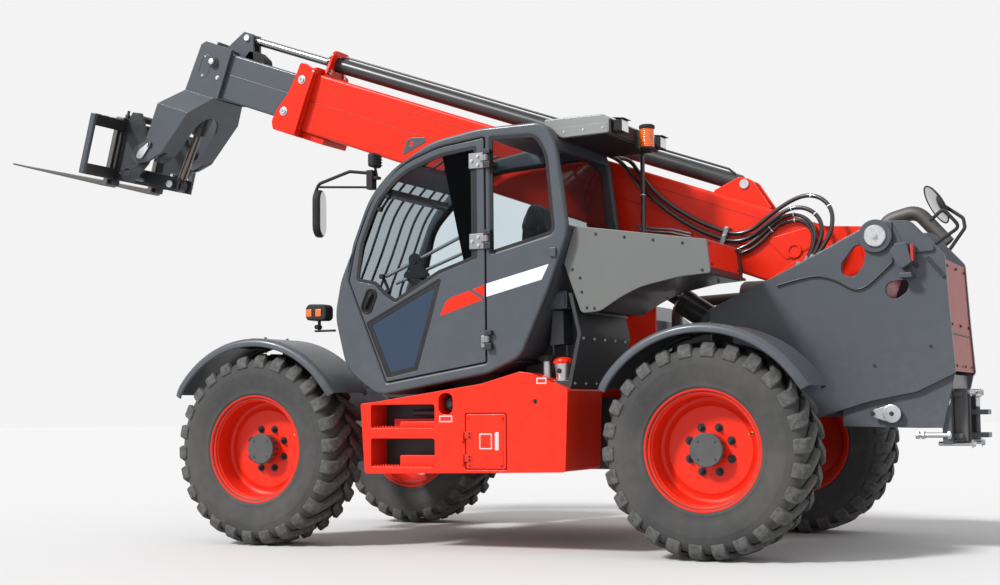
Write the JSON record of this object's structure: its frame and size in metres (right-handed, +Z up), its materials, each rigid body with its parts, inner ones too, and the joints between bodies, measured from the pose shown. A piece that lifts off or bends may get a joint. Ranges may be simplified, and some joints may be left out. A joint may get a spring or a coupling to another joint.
{
  "type": "telehandler",
  "caption": "Telehandler with a side cab, four steered wheels, a telescopic boom rising over the rear tower and pallet forks on a tilting carriage.",
  "frame": {"origin": "on the ground, at the middle of the length from the drawbar jaws to the fork tips and of the width", "axes": "+X forwards towards the forks, +Y to the left, +Z up"},
  "size_m": [6.9928, 2.4, 3.5342],
  "materials": {
    "slate_paint": "satin slate grey",
    "orange_paint": "gloss red-orange",
    "light_grey_paint": "satin grey",
    "dark_panel": "satin black",
    "dark_steel": "semi-gloss black",
    "cast": "rough",
    "exhaust_steel": "heat-stained",
    "glass": "clear",
    "seat_fabric": "woven",
    "lamp": "gloss",
    "amber": "amber lens",
    "chrome": "polished",
    "fork_steel": "worn",
    "dark_plastic": "satin",
    "tyre": "dusty rubber",
    "hose_rubber": "smooth hose sleeve"
  },
  "bodies": {
    "chassis": {"frame": "slate_paint", "rear_tower": "slate_paint", "rear_panel": "dark_panel", "hitch": "dark_steel", "front_axle": "dark_steel", "rear_axle": "dark_steel", "step_box": "orange_paint", "side_box": "light_grey_paint", "bulkhead": "dark_panel", "engine_tray": "orange_paint", "engine_block": "cast", "exhaust": "exhaust_steel", "cab_frame": "slate_paint", "cab_glass": "glass", "seat_base": "dark_panel", "seat": "seat_fabric", "steering_console": "dark_panel", "ac_unit": "light_grey_paint", "work_lamps": "lamp", "beacon": "amber", "mirrors": "dark_panel", "ac_hose": "hose_rubber"},
    "door": {"cab_door": "slate_paint", "door_glass": "glass"},
    "service_hatch": {"service_door": "orange_paint"},
    "hood": {"engine_hood": "slate_paint"},
    "boom_outer": {"outer_boom": "orange_paint", "extend_barrel": "dark_steel", "boom_hose_top": "hose_rubber", "boom_hose_second": "hose_rubber", "boom_hose_third": "hose_rubber", "boom_hose_fourth": "hose_rubber", "hose_fixings": "dark_steel"},
    "boom_inner": {"inner_boom": "slate_paint", "boom_head": "slate_paint", "extend_rod": "chrome"},
    "lift_cylinder": {"lift_barrel": "slate_paint"},
    "lift_piston": {"lift_rod": "chrome"},
    "tilt_cylinder": {"tilt_barrel": "dark_steel"},
    "tilt_piston": {"tilt_rod": "chrome"},
    "carriage": {"coupler": "slate_paint", "fork_carriage": "dark_steel", "forks": "fork_steel"},
    "steer_front_left": {"knuckle_front_left": "dark_steel", "mudguard_front_left": "dark_plastic"},
    "wheel_front_left": {"rim_front_left": "orange_paint", "tyre_front_left": "tyre"},
    "steer_front_right": {"knuckle_front_right": "dark_steel", "mudguard_front_right": "dark_plastic"},
    "wheel_front_right": {"rim_front_right": "orange_paint", "tyre_front_right": "tyre"},
    "steer_rear_left": {"knuckle_rear_left": "dark_steel", "mudguard_rear_left": "dark_plastic"},
    "wheel_rear_left": {"rim_rear_left": "orange_paint", "tyre_rear_left": "tyre"},
    "steer_rear_right": {"knuckle_rear_right": "dark_steel", "mudguard_rear_right": "dark_plastic"},
    "wheel_rear_right": {"rim_rear_right": "orange_paint", "tyre_rear_right": "tyre"}
  },
  "joints": [
    {"name": "boom_lift", "type": "hinge", "parent": "chassis", "child": "boom_outer", "pos_m": [-2.96638, 0, 1.76], "axis": [0, -1, 0], "range_deg": [-23, 47]},
    {"name": "boom_extend", "type": "slide", "parent": "boom_outer", "child": "boom_inner", "axis": [0.9397, 0, 0.342], "range_m": [-0.15, 2.6]},
    {"name": "fork_tilt", "type": "hinge", "parent": "boom_inner", "child": "carriage", "pos_m": [2.27339, 0, 2.66998], "axis": [0, -1, 0], "range_deg": [-95, 15]},
    {"name": "lift_cylinder_swing", "type": "hinge", "parent": "chassis", "child": "lift_cylinder", "pos_m": [-2.68638, 0, 0.82], "axis": [0, -1, 0], "range_deg": [-17.81, 36.29]},
    {"name": "lift_rod_slide", "type": "slide", "parent": "lift_cylinder", "child": "lift_piston", "axis": [0.8367, 0, 0.5476], "range_m": [-0.3462, 0.7065]},
    {"name": "tilt_cylinder_swing", "type": "hinge", "parent": "boom_inner", "child": "tilt_cylinder", "pos_m": [1.78639, 0, 3.27703], "axis": [0, -1, 0], "range_deg": [-0.55, 2.95]},
    {"name": "tilt_rod_slide", "type": "slide", "parent": "tilt_cylinder", "child": "tilt_piston", "axis": [0.4141, 0, -0.9102], "range_m": [-0.321, 0.0515]},
    {"name": "steer_front_left", "type": "hinge", "parent": "chassis", "child": "steer_front_left", "pos_m": [0.67862, 0.82, 0.5875], "axis": [0, 0, 1], "range_deg": [-30, 30]},
    {"name": "steer_front_right", "type": "hinge", "parent": "chassis", "child": "steer_front_right", "pos_m": [0.67862, -0.82, 0.5875], "axis": [0, 0, 1], "range_deg": [-30.1, 30.1]},
    {"name": "steer_rear_left", "type": "hinge", "parent": "chassis", "child": "steer_rear_left", "pos_m": [-2.18638, 0.82, 0.5875], "axis": [0, 0, 1], "range_deg": [-30, 30]},
    {"name": "steer_rear_right", "type": "hinge", "parent": "chassis", "child": "steer_rear_right", "pos_m": [-2.18638, -0.82, 0.5875], "axis": [0, 0, 1], "range_deg": [-30.1, 30.1]},
    {"name": "spin_front_left", "type": "hinge", "parent": "steer_front_left", "child": "wheel_front_left", "pos_m": [0.67862, 0.975, 0.5875], "axis": [0, 1, 0], "continuous": true},
    {"name": "spin_front_right", "type": "hinge", "parent": "steer_front_right", "child": "wheel_front_right", "pos_m": [0.67862, -0.975, 0.5875], "axis": [0, 1, 0], "continuous": true},
    {"name": "spin_rear_left", "type": "hinge", "parent": "steer_rear_left", "child": "wheel_rear_left", "pos_m": [-2.18638, 0.975, 0.5875], "axis": [0, 1, 0], "continuous": true},
    {"name": "spin_rear_right", "type": "hinge", "parent": "steer_rear_right", "child": "wheel_rear_right", "pos_m": [-2.18638, -0.975, 0.5875], "axis": [0, 1, 0], "continuous": true},
    {"name": "cab_door", "type": "hinge", "parent": "chassis", "child": "door", "pos_m": [-0.90338, 1.118, 1.7], "axis": [0, 0, 1], "range_deg": [0, 110]},
    {"name": "service_door", "type": "hinge", "parent": "chassis", "child": "service_hatch", "pos_m": [-0.74538, 1.129, 0.634], "axis": [0, 0, -1], "range_deg": [0, 100]},
    {"name": "engine_hood", "type": "hinge", "parent": "chassis", "child": "hood", "pos_m": [-0.72138, -0.382, 1.507], "axis": [-1, 0, 0], "range_deg": [0, 70]}
  ],
  "couplings": [
    {"joint": "lift_cylinder_swing", "follows": "boom_lift", "ratio": 0.77},
    {"joint": "lift_rod_slide", "follows": "boom_lift", "m_per_rad": 0.86},
    {"joint": "tilt_cylinder_swing", "follows": "fork_tilt", "ratio": -0.03},
    {"joint": "tilt_rod_slide", "follows": "fork_tilt", "m_per_rad": 0.193},
    {"joint": "steer_front_right", "follows": "steer_front_left", "ratio": 1},
    {"joint": "steer_rear_right", "follows": "steer_rear_left", "ratio": 1}
  ]
}
